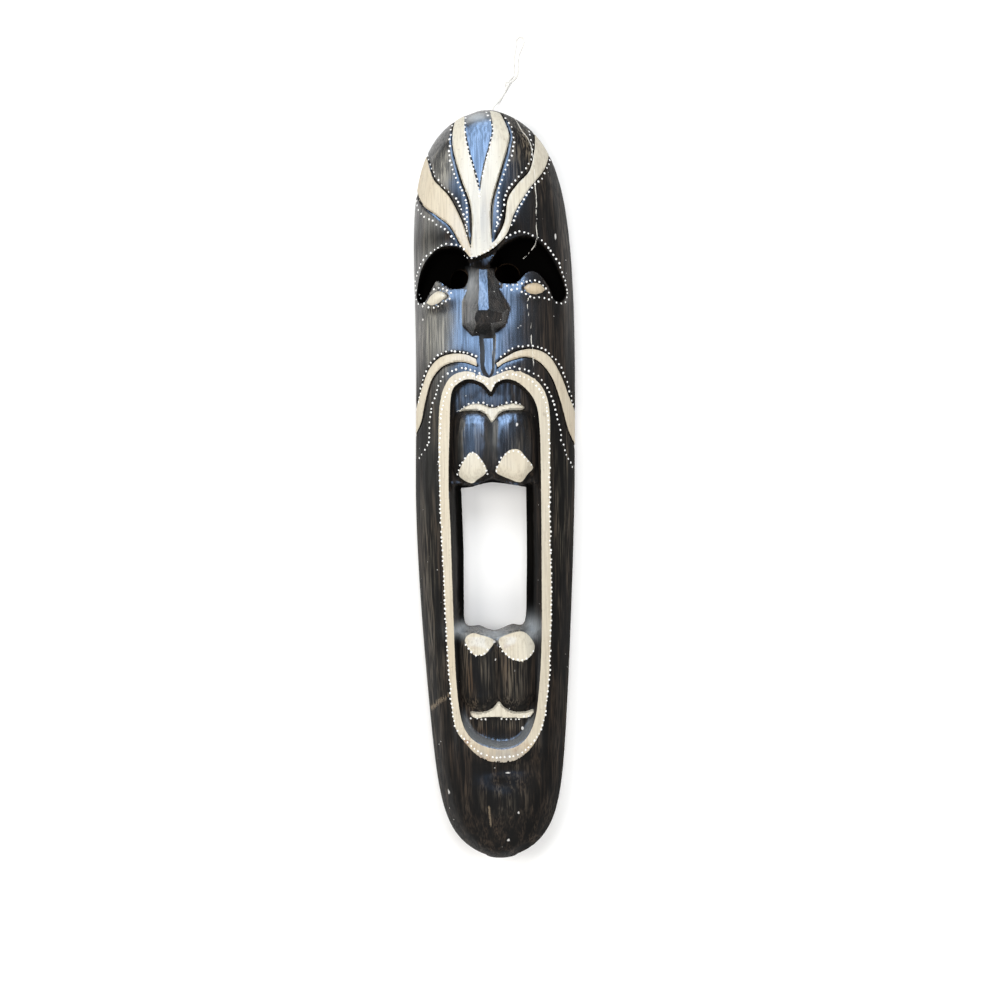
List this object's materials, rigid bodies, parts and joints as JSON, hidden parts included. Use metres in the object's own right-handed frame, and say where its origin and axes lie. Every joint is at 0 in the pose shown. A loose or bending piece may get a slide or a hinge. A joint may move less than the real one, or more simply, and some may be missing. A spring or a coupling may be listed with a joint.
{
  "type": "carved wooden wall mask",
  "caption": "Long carved wooden mask with a gaping mouth, cut-through eyes, hollow back, light bands edged with painted dots and a hanging string.",
  "frame": {"origin": "middle of the mask's outline, on the plane of its flat back rim", "axes": "+Y towards the top of the head, +X to the viewer's right, +Z out of the face; the mask lies on its back"},
  "size_m": [0.2177, 1.1007, 0.0998],
  "materials": {
    "stained_wood": "dark brown-black stain, rubbed semi-gloss; carved bands left as bare cream wood",
    "white_string": "twisted white string",
    "cream_wood": "bare light wood, matt",
    "dot_paint": "thick white paint drops"
  },
  "bodies": {
    "root": {"carved_mask": "stained_wood", "hanging_cord": "white_string", "hanging_cord_loop": "white_string", "cord_knot": "white_string"}
  },
  "joints": []
}
